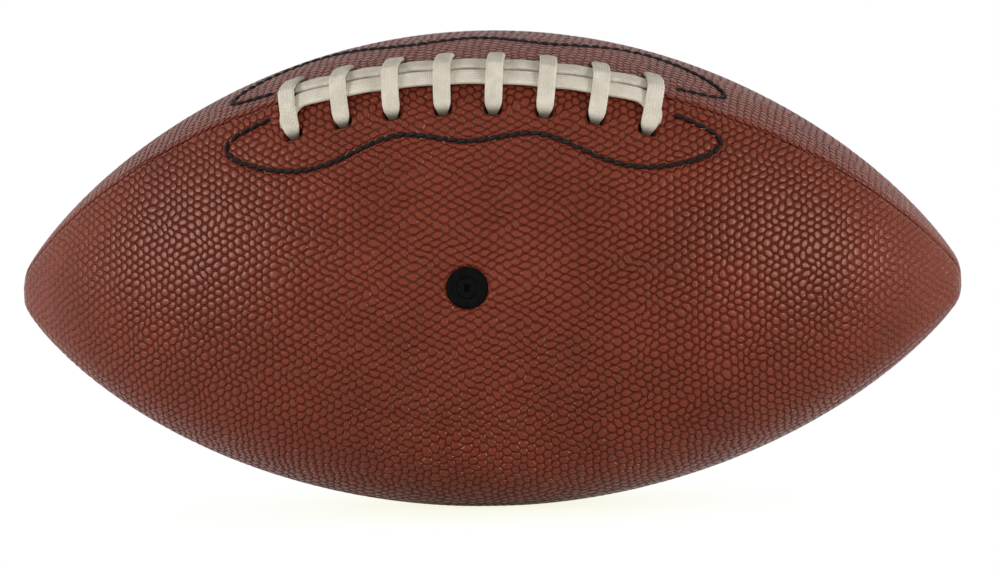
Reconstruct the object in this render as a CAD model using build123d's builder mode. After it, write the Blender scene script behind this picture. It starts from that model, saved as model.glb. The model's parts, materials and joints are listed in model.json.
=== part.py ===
"""American football: sewn panels with linings, a bladder, a valve and a lacing, resting on one panel."""
import os
from math import atan2, cos, degrees, hypot, pi, radians, sin, sqrt

import numpy as np
from build123d import *

os.makedirs("parts", exist_ok=True)

# Ball form: X runs from nose to nose, the ball rests on Z zero, the laced seam is up and to the front
half_length = 142.5
top_crown = 77.5
side_crown = 78.0
bottom_crown = 66.2
upper_seam = 63.8
lower_turn_offset = 67.8
lower_turn_drop = 46.0
lower_seam_offset = 44.6
lower_seam_drop = 64.4
rest_depth = 0.5
taper_share = 0.775
tip_share = 0.985
turn_offset_share = 0.92
turn_drop_share = 0.39
corner_inset_share = 0.765
nose_inset_share = 1.6
station_count = 16

# Layers of the wall
cover_thickness = 2.4
lining_thickness = 1.2
layer_gap = 0.2
seam_gap = 0.3
groove_depth = 0.9
groove_width = 2.2

# Seam allowance turned into the ball, and its thread
allowance_thickness = 2.0
allowance_depth = 8.0
thread_size = 0.8
thread_depth = 5.0
thread_end = 20.0

# Bladder
bladder_wall = 1.0
bladder_gap = 0.4
bladder_corner_inset = 13.2
bladder_turn_inset = 11.0
bladder_nose_inset = 18.0

# Lacing
lace_width = 5.2
lace_thickness = 1.5
lace_gap = 0.45
lace_lift = 0.15
cross_count = 8
cross_pitch = 15.4
hole_offset = 11.5
spine_offset = 2.85
spine_turn_radius = 5.0
cross_bend_radius = 2.2
under_bend_radius = 1.25
hole_slack = 0.4
bend_count = 3
turn_count = 4
spine_step_count = 12
gap_step_count = 4
gap_skip_count = 7

# Patches behind the lacing, their stitched outline and the tongue
patch_thickness = 1.2
patch_margin = 3.5
outline_end = 60.0
outline_end_offset = 5.0
lobe_tip = 73.0
lobe_tip_offset = 8.0
lobe_heel = 52.0
lobe_heel_offset = 22.0
waist = 20.0
waist_offset = 17.8
middle_offset = 20.6
top_outline_share = 1.5
stitch_pitch = 3.0
stitch_length = 2.5
stitch_diameter = 0.9
stitch_lift = 0.15
tongue_length = 136.0
tongue_width = 30.0
tongue_thickness = 1.2

# Valve in the middle of the front panel
valve_head_diameter = 12.2
valve_head_sink = 0.3
valve_hole_slack = 0.2
valve_flange_diameter = 26.0
valve_flange_thickness = 1.4
valve_flange_drop = 2.1
valve_stem_diameter = 9.0
valve_stem_length = 16.0
core_head_diameter = 6.4
core_head_thickness = 1.4
core_shank_diameter = 4.6
core_length = 15.0
core_clearance = 0.05
needle_bore_diameter = 2.0
needle_bore_length = 12.0
needle_slit_width = 0.3
needle_slit_length = 1.6

overrun = 20.0

axis_height = bottom_crown - rest_depth
length = 2 * half_length
laced_seam = 45
front_bottom_seam = 180 - degrees(atan2(lower_seam_offset, lower_seam_drop))
bottom_back_seam = 360 - front_bottom_seam
back_top_seam = 360 - laced_seam
seam_turns = (laced_seam, front_bottom_seam, bottom_back_seam, back_top_seam)
top_seams = (-laced_seam, laced_seam)
front_seams = (laced_seam, front_bottom_seam)
bottom_seams = (front_bottom_seam, bottom_back_seam)
back_seams = (bottom_back_seam, back_top_seam)

# Directions of the lacing: along the seam, across it towards the top panel, and out of the ball
along = Vector(1, 0, 0)
across = Vector(0, 1, 1).normalized()
outward = Vector(0, -1, 1).normalized()
centre = Vector(0, 0, axis_height)


def section_plane(x, facing=0):
    """Plane square to the ball's axis, whose second direction is up, turned to the front by an angle."""
    turn = radians(facing)
    return Plane(origin=(x, 0, axis_height), x_dir=(0, cos(turn), sin(turn)), z_dir=(1, 0, 0))


def size_share(station_share):
    """Share of the middle section's size that is left at a share of the half length."""
    return (1 - (tip_share * station_share) ** 2) ** taper_share


def ball_form(crown_inset, turn_inset, corner_inset, nose_inset):
    """Solid that follows the ball at a depth below its crowns, its lower turns, its corners and its noses."""
    with BuildPart() as form:
        for station in range(station_count + 1):
            station_share = -cos(pi * station / station_count)
            left = size_share(station_share)
            side = left * (side_crown - crown_inset)
            upper = left * (upper_seam - corner_inset)
            turn_offset = left * (lower_turn_offset - turn_offset_share * turn_inset)
            turn_height = left * (turn_drop_share * turn_inset - lower_turn_drop)
            lower_share = left * (1 - corner_inset / corner_inset_share / lower_seam_drop)
            lower_offset = lower_share * lower_seam_offset
            lower_height = -lower_share * lower_seam_drop
            bottom = (0, left * (crown_inset - bottom_crown))
            with BuildSketch(section_plane((half_length - nose_inset) * station_share)):
                with BuildLine():
                    ThreePointArc((-upper, upper), (0, left * (top_crown - crown_inset)), (upper, upper))
                    back = ThreePointArc((upper, upper), (side, 0), (turn_offset, turn_height))
                    TangentArc(back @ 1, (lower_offset, lower_height), tangent=back % 1)
                    ThreePointArc((lower_offset, lower_height), bottom, (-lower_offset, lower_height))
                    front = ThreePointArc((-upper, upper), (-side, 0), (-turn_offset, turn_height))
                    TangentArc(front @ 1, (-lower_offset, lower_height), tangent=front % 1)
                make_face()
        loft()
    return form.part


def layer(inset):
    """Form of the wall's layers, which keep nearly the same depth all over the ball."""
    return ball_form(inset, inset, inset * corner_inset_share, inset * nose_inset_share)


def sector(seams, setback):
    """Space round the axis between a panel's two seams, kept back from both."""
    half_turn = radians(seams[1] - seams[0]) / 2
    apex = setback / sin(half_turn)
    side = 2 * length * sin(half_turn)
    height = apex + 2 * length * cos(half_turn)
    with BuildPart() as wedge:
        with BuildSketch(section_plane(-length, sum(seams) / 2)):
            with BuildLine():
                Polyline((0, apex), (side, height), (-side, height), close=True)
            make_face()
        extrude(amount=2 * length)
    return wedge.part


def seam_slab(seam, half_width, reach):
    """Slab along a seam, from the ball's axis outward."""
    with BuildPart() as slab:
        with BuildSketch(section_plane(-reach, seam)):
            with Locations((0, length / 2)):
                Rectangle(2 * half_width, length)
        extrude(amount=2 * reach)
    return slab.part


cover_outer = layer(0)
cover_inner = layer(cover_thickness)
lining_inset = cover_thickness + layer_gap
lining_outer = layer(lining_inset)
lining_inner = layer(lining_inset + lining_thickness)
allowance_outer = layer(cover_thickness / 2)
allowance_inner = layer(cover_thickness + allowance_depth)
groove_floor = layer(groove_depth)
thread_outer = layer(thread_depth)
thread_inner = layer(thread_depth + thread_size)
patch_inset = lining_inset + lining_thickness + layer_gap
patch_outer = layer(patch_inset)
patch_inner = layer(patch_inset + patch_thickness)
wall_depth = patch_inset + patch_thickness
lining_setback = seam_gap / 2 + allowance_thickness + layer_gap
bladder_inset = lining_inset + lining_thickness + bladder_gap
bladder_insets = (bladder_inset, bladder_turn_inset, bladder_corner_inset, bladder_nose_inset)
bladder_outer = ball_form(*bladder_insets)
bladder_inner = ball_form(*[inset + bladder_wall for inset in bladder_insets])


def shell_piece(outer, inner, wedge):
    """Part of the space between two forms that lies between two seams."""
    with BuildPart() as piece:
        add(outer)
        add(inner, mode=Mode.SUBTRACT)
        add(wedge, mode=Mode.INTERSECT)
    return piece.part


def allowance_piece(seams):
    """Edges of a panel that are turned into the ball along its two seams."""
    wedge = sector(seams, seam_gap / 2)
    kept_clear = sector(seams, seam_gap / 2 + allowance_thickness)
    with BuildPart() as piece:
        add(allowance_outer)
        add(allowance_inner, mode=Mode.SUBTRACT)
        add(wedge, mode=Mode.INTERSECT)
        add(kept_clear, mode=Mode.SUBTRACT)
    return piece.part


def groove_piece():
    """Shallow channel that the drawn-in panel edges leave along every seam."""
    slabs = [seam_slab(seam, groove_width / 2, length) for seam in seam_turns]
    with BuildPart() as piece:
        add(slabs)
        add(cover_outer, mode=Mode.INTERSECT)
        add(groove_floor, mode=Mode.SUBTRACT)
    return piece.part


def cover_panel(seams):
    """One panel of the cover with its seam allowance and its share of the seam grooves."""
    wall = shell_piece(cover_outer, cover_inner, sector(seams, seam_gap / 2))
    allowance = allowance_piece(seams)
    with BuildPart() as panel:
        add(wall)
        add(allowance)
        add(grooves, mode=Mode.SUBTRACT)
    return panel.part


def lining_panel(seams):
    """Cloth lining of one panel, which ends beside the seam allowance."""
    return shell_piece(lining_outer, lining_inner, sector(seams, lining_setback))


def seam_thread(seam):
    """Two threads of the lock stitch, one along each outer face of the seam allowance."""
    inner_width = seam_gap / 2 + allowance_thickness
    outer_slab = seam_slab(seam, inner_width + thread_size, half_length - thread_end)
    inner_slab = seam_slab(seam, inner_width, half_length)
    with BuildPart() as thread:
        add(thread_outer)
        add(thread_inner, mode=Mode.SUBTRACT)
        add(outer_slab, mode=Mode.INTERSECT)
        add(inner_slab, mode=Mode.SUBTRACT)
    return thread.part


# Upper arcs of the middle section on both sides of the laced seam
top_arc = ThreePointArc((-upper_seam, upper_seam), (0, top_crown), (upper_seam, upper_seam))
front_arc = ThreePointArc((-upper_seam, upper_seam), (-side_crown, 0), (-lower_turn_offset, -lower_turn_drop))


class Station:
    """Place on the laced seam, with its own directions along the seam and out of the ball."""

    def __init__(self, x):
        station_share = x / half_length
        base = 1 - (tip_share * station_share) ** 2
        self.left = size_share(station_share)
        ridge = sqrt(2) * upper_seam
        fall_share = 2 * taper_share * tip_share**2 * station_share * base ** (taper_share - 1)
        slope = -fall_share * ridge / half_length
        self.origin = centre + along * x + outward * ridge * self.left
        self.along = (along + outward * slope).normalized()
        self.out = self.along.cross(across)
        self.steepness = 1 / hypot(1, slope)

    def fall(self, offset):
        """How far the surface lies below the seam at an offset across it, and its sideways slope."""
        arc = top_arc if offset > 0 else front_arc
        middle = arc.arc_center * self.left
        middle_out = (middle.Y - middle.X) / sqrt(2)
        middle_across = (middle.Y + middle.X) / sqrt(2)
        reach = offset - middle_across
        height = sqrt((arc.radius * self.left) ** 2 - reach**2)
        ridge = sqrt(2) * upper_seam * self.left
        return (ridge - middle_out - height) * self.steepness, reach / height

    def point(self, offset, height):
        """Point at an offset across the seam and a height over the seam."""
        return self.origin + across * offset + self.out * height

    def on_surface(self, offset, lift):
        """Point over the surface, the surface's normal and its direction across the seam."""
        drop, slope = self.fall(offset)
        normal = (self.out + across * slope).normalized()
        sideways = (across - self.out * slope).normalized()
        return self.point(offset, -drop) + normal * lift, normal, sideways


cross_places = [(index - (cross_count - 1) / 2) * cross_pitch for index in range(cross_count)]
first_cross = cross_places[0]
last_cross = cross_places[-1]
strand_offset = hole_offset - lace_thickness - lace_gap
opening_half = last_cross + cross_pitch / 2


def under_depth(station, level):
    """Depth below the seam of a lace run inside the ball, one or two laces below the patch."""
    drop, slope = station.fall(hole_offset)
    wall = wall_depth * hypot(1, slope)
    return drop + wall + (level - 1 / 2) * lace_thickness + level * lace_gap


def lace_punch(side):
    """Slots for the lace on one side of the seam, the end ones wide enough for two passes."""
    with BuildPart() as punch:
        for place in cross_places:
            station = Station(place)
            passes = 2 if place in (first_cross, last_cross) else 1
            width = passes * lace_thickness + (passes + 1) * lace_gap
            middle = hole_offset + lace_thickness / 2 + lace_gap - width / 2
            drop, slope = station.fall(side * hole_offset)
            origin = station.point(side * middle, -drop)
            with BuildSketch(Plane(origin=origin, x_dir=station.along, z_dir=station.out)):
                Rectangle(lace_width + 2 * hole_slack, width)
            extrude(amount=wall_depth + cover_thickness, both=True)
    return punch.part


def bend(centre_point, radius, start, finish, axis):
    """Frames round a bend: the lace faces from one direction to the other about an axis."""
    frames = []
    turn = start.get_angle(finish)
    for step in range(bend_count + 1):
        normal = start.rotate(Axis((0, 0, 0), axis), turn * step / bend_count)
        frames.append((centre_point + normal * radius, axis.cross(normal), normal))
    return frames


def shoulder(station, side, offset, lift, radius):
    """Centre of the bend from a hole into a run over the surface, with the run's and the leg's facing."""
    place, normal, sideways = station.on_surface(side * offset, lift)
    leg = across * side
    tilt = leg.dot(normal)
    shift = (radius * (tilt - 1) - lift * tilt) / leg.dot(sideways)
    return place + sideways * shift - normal * radius, normal, leg


def cross_over(station):
    """Frames of one cross lace, from its hole in the top panel over the seam to the front panel."""
    lift = lace_lift + lace_thickness + lace_gap + lace_thickness / 2
    middle, normal, leg = shoulder(station, 1, hole_offset, lift, cross_bend_radius)
    frames = bend(middle, cross_bend_radius, leg, normal, station.along)
    drop, slope = station.fall(layer_gap)
    frames.append((station.point(0, lift * hypot(1, slope)), -across, station.out))
    middle, normal, leg = shoulder(station, -1, hole_offset, lift, cross_bend_radius)
    return frames + bend(middle, cross_bend_radius, normal, leg, station.along)


def under_run(station, level, offset, side):
    """Frames of the bend from a hole into the run inside the ball, or out of it again."""
    depth = under_depth(station, level) - under_bend_radius
    middle = station.point(side * (offset - under_bend_radius), -depth)
    leg = across * side
    if side < 0:
        return bend(middle, under_bend_radius, leg, -station.out, station.along)
    return bend(middle, under_bend_radius, -station.out, leg, station.along)


def strand_leg(station, side, rising):
    """Frames where a strand of the spine comes out of an end hole or goes back into it."""
    lift = lace_lift + lace_thickness / 2
    middle, normal, leg = shoulder(station, side, strand_offset, lift, under_bend_radius)
    if rising:
        return bend(middle, under_bend_radius, leg, normal, station.along * side)
    return bend(middle, under_bend_radius, normal, leg, station.along * -side)


def spine_strand(side):
    """Frames of one strand that lies along the seam, from its first end hole to its last."""
    lift = lace_lift + lace_thickness / 2
    frames = strand_leg(Station(first_cross), side, True)
    for step in range(1, turn_count + 1):
        angle = pi / 2 * step / turn_count
        station = Station(first_cross + spine_turn_radius * (1 - cos(angle)))
        offset = side * (spine_offset + spine_turn_radius * (1 - sin(angle)))
        place, normal, sideways = station.on_surface(offset, lift)
        heading = station.along * sin(angle) - sideways * side * cos(angle)
        frames.append((place, heading, normal))
    run = last_cross - first_cross - 2 * spine_turn_radius
    for step in range(1, spine_step_count):
        station = Station(first_cross + spine_turn_radius + run * step / spine_step_count)
        place, normal, sideways = station.on_surface(side * spine_offset, lift)
        frames.append((place, station.along, normal))
    for step in range(turn_count):
        angle = pi / 2 * step / turn_count
        station = Station(last_cross - spine_turn_radius * (1 - sin(angle)))
        offset = side * (spine_offset + spine_turn_radius * (1 - cos(angle)))
        place, normal, sideways = station.on_surface(offset, lift)
        heading = station.along * cos(angle) + sideways * side * sin(angle)
        frames.append((place, heading, normal))
    return frames + strand_leg(Station(last_cross), side, False)


def lace_tail(station, side, rising):
    """Frame at the trimmed end of the lace, just inside an end hole."""
    drop, slope = station.fall(side * strand_offset)
    depth = drop + (cover_thickness + lining_thickness) * hypot(1, slope)
    direction = station.out if rising else -station.out
    return station.point(side * strand_offset, -depth), direction, across * side


def lace_route():
    """Frames of the whole lace: a spine strand, the crosses from last to first, the other strand."""
    stations = [Station(place) for place in cross_places]
    first, last = stations[0], stations[-1]
    route = [lace_tail(first, -1, True)] + spine_strand(-1)
    route += under_run(last, 1, strand_offset, -1) + under_run(last, 1, hole_offset, 1)
    for index in reversed(range(cross_count)):
        route += cross_over(stations[index])
        if index > 0:
            route += under_run(stations[index], 2, hole_offset, -1)
            route += under_run(stations[index - 1], 2, hole_offset, 1)
    route += under_run(first, 1, hole_offset, -1) + under_run(first, 1, strand_offset, 1)
    return route + spine_strand(1) + [lace_tail(last, 1, False)]


def least_gap(route):
    """Least distance between points on the lace's faces, over runs that don't follow each other."""
    places, headings, normals = (np.array([tuple(frame[part]) for frame in route]) for part in range(3))
    widths = np.cross(normals, headings)
    rims = [
        places + widths * lace_width / 2 * wide + normals * lace_thickness / 2 * high
        for wide in (-1, 0, 1)
        for high in (-1, 1)
    ]
    rims = np.stack(rims, axis=1)
    steps = np.arange(gap_step_count)[:, None, None, None] / gap_step_count
    points = (rims[None, :-1] * (1 - steps) + rims[None, 1:] * steps).swapaxes(0, 1).reshape(-1, 3)
    skipped = gap_skip_count * gap_step_count * len(rims[0])
    gaps = [
        np.linalg.norm(points[index + skipped :] - points[index], axis=1).min()
        for index in range(len(points) - skipped)
    ]
    return min(gaps)


def outline_points(side, margin):
    """Points of the lobed outline round the lacing on one panel, from end to end."""
    reach_share = top_outline_share if side > 0 else 1
    half = [
        (outline_end, reach_share * outline_end_offset),
        (lobe_tip + margin, reach_share * lobe_tip_offset),
        (lobe_heel, reach_share * lobe_heel_offset + margin),
        (waist, reach_share * waist_offset + margin),
    ]
    left = [(-x, side * offset) for x, offset in half]
    right = [(x, side * offset) for x, offset in reversed(half)]
    return left + [(0, side * (reach_share * middle_offset + margin))] + right


lacing_plane = Plane(origin=centre, x_dir=along, z_dir=outward)


def lace_patch(side, seams):
    """Reinforcing patch behind the lacing, under the lining of one panel."""
    blank = shell_piece(patch_outer, patch_inner, sector(seams, lining_setback))
    with BuildPart() as patch:
        with BuildSketch(lacing_plane):
            with BuildLine():
                points = outline_points(side, patch_margin)
                rim = Spline(*points)
                Line(rim @ 1, rim @ 0)
            make_face()
        extrude(amount=length)
        add(blank, mode=Mode.INTERSECT)
    return patch.part


def stitch_row(side):
    """Stitches along the lobed outline, each one a short thread on the leather."""
    path = Spline(*outline_points(side, 0))
    stitch_count = int(path.length // stitch_pitch)
    with BuildPart() as row:
        for index in range(stitch_count):
            position_share = (index + 1 / 2) / stitch_count
            spot = path.position_at(position_share)
            heading = path.tangent_at(position_share)
            station = Station(spot.X)
            place, normal, sideways = station.on_surface(spot.Y, stitch_lift)
            direction = station.along * heading.X + sideways * heading.Y
            with Locations(Plane(origin=place, x_dir=normal, z_dir=direction)):
                Cylinder(stitch_diameter / 2, stitch_length)
    return row.part


grooves = groove_piece()
top_punch = lace_punch(1)
front_punch = lace_punch(-1)
top_cover = cover_panel(top_seams)
front_cover = cover_panel(front_seams)
bottom_cover = cover_panel(bottom_seams)
back_cover = cover_panel(back_seams)
top_cloth = lining_panel(top_seams)
front_cloth = lining_panel(front_seams)
lace_thread = seam_thread(laced_seam)
valve_plane = Plane(origin=(0, -side_crown, axis_height), x_dir=(1, 0, 0), z_dir=(0, -1, 0))
valve_hole_radius = valve_head_diameter / 2 + valve_hole_slack
valve_base_depth = bladder_inset + bladder_wall + valve_flange_drop + valve_flange_thickness

# The laced opening has no seam allowance
with BuildPart() as lace_opening:
    with BuildSketch(lacing_plane):
        Rectangle(2 * opening_half, 2 * lining_setback + 2 * thread_size)
    extrude(amount=length)
    add(cover_inner, mode=Mode.INTERSECT)

with BuildPart() as valve_way:
    with BuildSketch(valve_plane):
        Circle(valve_hole_radius)
    extrude(amount=overrun, both=True)

# Cover
with BuildPart() as top_panel:
    add(top_cover)
    add(lace_opening.part, mode=Mode.SUBTRACT)
    add(top_punch, mode=Mode.SUBTRACT)

with BuildPart() as front_panel:
    add(front_cover)
    add(lace_opening.part, mode=Mode.SUBTRACT)
    add(front_punch, mode=Mode.SUBTRACT)
    add(valve_way.part, mode=Mode.SUBTRACT)

with BuildPart() as bottom_panel:
    add(bottom_cover)
    with BuildSketch(Plane.XY):
        Rectangle(length, length)
    extrude(amount=-overrun, mode=Mode.SUBTRACT)

with BuildPart() as back_panel:
    add(back_cover)

# Linings
with BuildPart() as top_lining:
    add(top_cloth)
    add(top_punch, mode=Mode.SUBTRACT)

with BuildPart() as front_lining:
    add(front_cloth)
    add(front_punch, mode=Mode.SUBTRACT)
    add(valve_way.part, mode=Mode.SUBTRACT)

bottom_cloth = lining_panel(bottom_seams)
with BuildPart() as bottom_lining:
    add(bottom_cloth)

back_cloth = lining_panel(back_seams)
with BuildPart() as back_lining:
    add(back_cloth)

# Patches, tongue and lace
top_blank = lace_patch(1, top_seams)
with BuildPart() as top_lace_patch:
    add(top_blank)
    add(top_punch, mode=Mode.SUBTRACT)

front_blank = lace_patch(-1, front_seams)
with BuildPart() as front_lace_patch:
    add(front_blank)
    add(front_punch, mode=Mode.SUBTRACT)


def tongue_point(x, layer_depth):
    """Point of the tongue's lengthwise section, under the lowest run of the lace."""
    station = Station(x)
    depth = under_depth(station, 2) + lace_thickness / 2 + lace_gap + layer_depth
    place = station.point(0, -depth) - centre
    return place.dot(along), place.dot(outward)


with BuildPart() as lace_tongue:
    with BuildSketch(Plane(origin=centre, x_dir=along, z_dir=-across)):
        with BuildLine():
            tongue_end = tongue_length / 2
            upper_line = ThreePointArc(
                tongue_point(-tongue_end, 0), tongue_point(0, 0), tongue_point(tongue_end, 0)
            )
            lower_line = ThreePointArc(
                tongue_point(-tongue_end, tongue_thickness),
                tongue_point(0, tongue_thickness),
                tongue_point(tongue_end, tongue_thickness),
            )
            Line(upper_line @ 0, lower_line @ 0)
            Line(upper_line @ 1, lower_line @ 1)
        make_face()
    extrude(amount=tongue_width / 2, both=True)

route = lace_route()
with BuildPart() as lace:
    for place, heading, normal in route:
        with BuildSketch(Plane(origin=place, x_dir=normal.cross(heading), z_dir=heading)):
            Rectangle(lace_width, lace_thickness)
    loft(ruled=True)
print(f"least gap of the lace to itself {least_gap(route):.2f} mm")

# Threads
top_row = stitch_row(1)
with BuildPart() as top_patch_stitching:
    add(top_row)

front_row = stitch_row(-1)
with BuildPart() as front_patch_stitching:
    add(front_row)

with BuildPart() as lace_seam_thread:
    add(lace_thread)
    add(lace_opening.part, mode=Mode.SUBTRACT)

front_bottom_thread = seam_thread(front_bottom_seam)
with BuildPart() as front_bottom_seam_thread:
    add(front_bottom_thread)

bottom_back_thread = seam_thread(bottom_back_seam)
with BuildPart() as bottom_back_seam_thread:
    add(bottom_back_thread)

back_top_thread = seam_thread(back_top_seam)
with BuildPart() as back_top_seam_thread:
    add(back_top_thread)

# Bladder and valve
with BuildPart() as bladder:
    add(bladder_outer)
    add(bladder_inner, mode=Mode.SUBTRACT)
    add(valve_way.part, mode=Mode.SUBTRACT)

with BuildPart() as valve_body:
    with BuildSketch(valve_plane.offset(-valve_head_sink)):
        Circle(valve_head_diameter / 2)
    extrude(amount=valve_head_sink - valve_base_depth)
    with BuildSketch(valve_plane.offset(valve_flange_thickness - valve_base_depth)):
        Circle(valve_flange_diameter / 2)
    extrude(amount=-valve_flange_thickness)
    with BuildSketch(valve_plane.offset(-valve_base_depth)):
        Circle(valve_stem_diameter / 2)
    extrude(amount=-valve_stem_length)
    with BuildSketch(valve_plane.offset(-valve_head_sink)):
        Circle(core_head_diameter / 2 + core_clearance)
    extrude(amount=-core_head_thickness, mode=Mode.SUBTRACT)
    with BuildSketch(valve_plane):
        Circle(core_shank_diameter / 2 + core_clearance)
    extrude(amount=-valve_base_depth - valve_stem_length, mode=Mode.SUBTRACT)

with BuildPart() as valve_core:
    with BuildSketch(valve_plane.offset(-valve_head_sink)):
        Circle(core_head_diameter / 2)
    extrude(amount=-core_head_thickness)
    with BuildSketch(valve_plane.offset(-valve_head_sink)):
        Circle(core_shank_diameter / 2)
    extrude(amount=-core_length)
    with BuildSketch(valve_plane.offset(-valve_head_sink)):
        Circle(needle_bore_diameter / 2)
    extrude(amount=-needle_bore_length, mode=Mode.SUBTRACT)
    with BuildSketch(valve_plane.offset(-valve_head_sink)):
        Rectangle(needle_slit_width, needle_slit_length)
    extrude(amount=-core_length, mode=Mode.SUBTRACT)

pieces = {
    "top_panel": top_panel,
    "front_panel": front_panel,
    "bottom_panel": bottom_panel,
    "back_panel": back_panel,
    "top_lining": top_lining,
    "front_lining": front_lining,
    "bottom_lining": bottom_lining,
    "back_lining": back_lining,
    "top_lace_patch": top_lace_patch,
    "front_lace_patch": front_lace_patch,
    "lace_tongue": lace_tongue,
    "lace": lace,
    "top_patch_stitching": top_patch_stitching,
    "front_patch_stitching": front_patch_stitching,
    "lace_seam_thread": lace_seam_thread,
    "front_bottom_seam_thread": front_bottom_seam_thread,
    "bottom_back_seam_thread": bottom_back_seam_thread,
    "back_top_seam_thread": back_top_seam_thread,
    "bladder": bladder,
    "valve_body": valve_body,
    "valve_core": valve_core,
}
for name, piece in pieces.items():
    piece.part.label = name
    export_step(piece.part, f"parts/{name}.step")
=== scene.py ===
# %% [markdown]
# # An american football
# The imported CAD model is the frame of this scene: its bodies, its sizes and its joints are fixed.
# Each piece that shows is made again here as a fine surface, which rides on the body of its solid.
# The frame is loaded first, so that every later cell can ask it where a piece belongs.

# %% Frame
import json
import math

import bpy
import numpy as np
from mathutils import Matrix, Vector


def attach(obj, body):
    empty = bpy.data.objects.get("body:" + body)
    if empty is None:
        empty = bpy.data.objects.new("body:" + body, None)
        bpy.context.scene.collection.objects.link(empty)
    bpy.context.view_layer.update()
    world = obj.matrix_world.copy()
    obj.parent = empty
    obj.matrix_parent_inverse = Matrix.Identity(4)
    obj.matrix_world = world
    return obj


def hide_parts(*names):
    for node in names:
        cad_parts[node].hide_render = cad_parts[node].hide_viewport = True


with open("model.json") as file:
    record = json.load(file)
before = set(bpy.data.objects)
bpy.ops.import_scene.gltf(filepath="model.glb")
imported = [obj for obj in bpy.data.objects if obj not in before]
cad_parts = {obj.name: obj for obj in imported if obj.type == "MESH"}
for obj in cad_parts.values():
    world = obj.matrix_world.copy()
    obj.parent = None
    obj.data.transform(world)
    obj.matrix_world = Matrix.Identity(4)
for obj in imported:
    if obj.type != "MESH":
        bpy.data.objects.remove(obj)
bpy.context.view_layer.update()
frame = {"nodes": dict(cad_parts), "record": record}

# %% [markdown]
# ## The form of the ball
# The ball is four leather panels that meet at two noses. Its middle section is a square with bulged sides.
# One function gives the share of that section which is left at a place along the ball: the taper.
# Near a nose another power takes over with the same slope, so that the tip closes round and not in a flat.
# The lengths are in millimetres here and turn into metres where a mesh is made.

# %% Taper from nose to nose
MM = 0.001
HALF_LENGTH = 142.5
AXIS_HEIGHT = 65.7
TAPER_POWER = 0.775
TIP_SHARE = 0.985
NOSE_START = 0.985


def size_share(station_share):
    """(1 - (tip * s)^2) ^ taper: the section's size at a share s of the half length."""
    return np.maximum(1 - (TIP_SHARE * station_share) ** 2, 0) ** TAPER_POWER


def nose_power():
    """Power of the closing tip, chosen so that its slope goes on from the taper's slope."""
    step = 1e-5
    slope = (size_share(NOSE_START + step) - size_share(NOSE_START - step)) / (2 * step)
    return -slope * (1 - NOSE_START) / size_share(NOSE_START)


def taper(x):
    """Section share at x: the taper up to the nose, then share * (what is left of the nose) ^ power."""
    share = np.abs(np.asarray(x, float)) / HALF_LENGTH
    left = np.clip((1 - share) / (1 - NOSE_START), 0, 1)
    return np.where(share < NOSE_START, size_share(share), size_share(NOSE_START) * left ** nose_power())


test_shares = np.array([0, 0.75, 0.999])
print("size shares at the middle, three quarters and the tip", taper(test_shares * HALF_LENGTH).round(3))

# %% [markdown]
# Rows of the panel meshes should lie equally far apart on the leather, not along the axis.
# The outline is therefore measured first on a very fine curve, and the rows are read off at equal lengths.

# %% Rows along the ball
ROW_COUNT = 420
SIDE_CROWN = 78.0
NOSE_LEFT = 0.06
BODY_STEPS, NOSE_STEPS = 4000, 1000


def outline_rows(count):
    """x and length along the crown for rows at equal lengths of the curve (x, crown * share(x))."""
    body = np.linspace(0, NOSE_START, BODY_STEPS) * HALF_LENGTH
    left = np.linspace(1, NOSE_LEFT, NOSE_STEPS)[1:] ** (1 / nose_power())
    x = np.concatenate([body, HALF_LENGTH * (1 - left * (1 - NOSE_START))])
    x = np.concatenate([-x[:0:-1], x])
    steps = np.hypot(np.diff(x), np.diff(SIDE_CROWN * taper(x)))
    length = np.concatenate([[0], np.cumsum(steps)])
    rows = np.linspace(0, length[-1], count)
    return np.interp(rows, length, x), rows


row_x, row_length = outline_rows(ROW_COUNT)
print("length over the leather from nose to nose", round(row_length[-1], 1), "mm")

# %% [markdown]
# ## One section of a panel
# Across the ball a panel is an arc through two seam corners and a crown. The front and the back panel have
# a second, tighter arc below, which touches the first one and turns under the ball to the lower seam.
# At a seam the leather turns into the ball, so each panel ends in a small roll and a straight leg.
# Points of the section are complex numbers: turning and scaling them is then one multiplication.

# %% Arcs and rolled edges
TOP_FRONT, TOP_BACK = -63.8 + 63.8j, 63.8 + 63.8j
BOTTOM_BACK, BOTTOM_FRONT = 44.6 - 64.4j, -44.6 - 64.4j
BACK_TURN, FRONT_TURN = 67.8 - 46.0j, -67.8 - 46.0j
TOP_CROWN, BOTTOM_CROWN = 77.5j, -66.2j
HALF_SEAM_GAP = 0.12
LEG_DEPTH = 6.0
LEG_COLUMNS = 2
ROLL_COLUMNS = 8
ARC_COLUMNS = 200
ROLL_LIMIT_SHARE = 0.2


def circle_through(first, second, third):
    """Centre and radius of the circle through three complex points."""
    ratio = (third - first) / (second - first)
    offset = (first - second) * (ratio - abs(ratio) ** 2) / 2j / ratio.imag - first
    return -offset, abs(offset + first)


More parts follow.
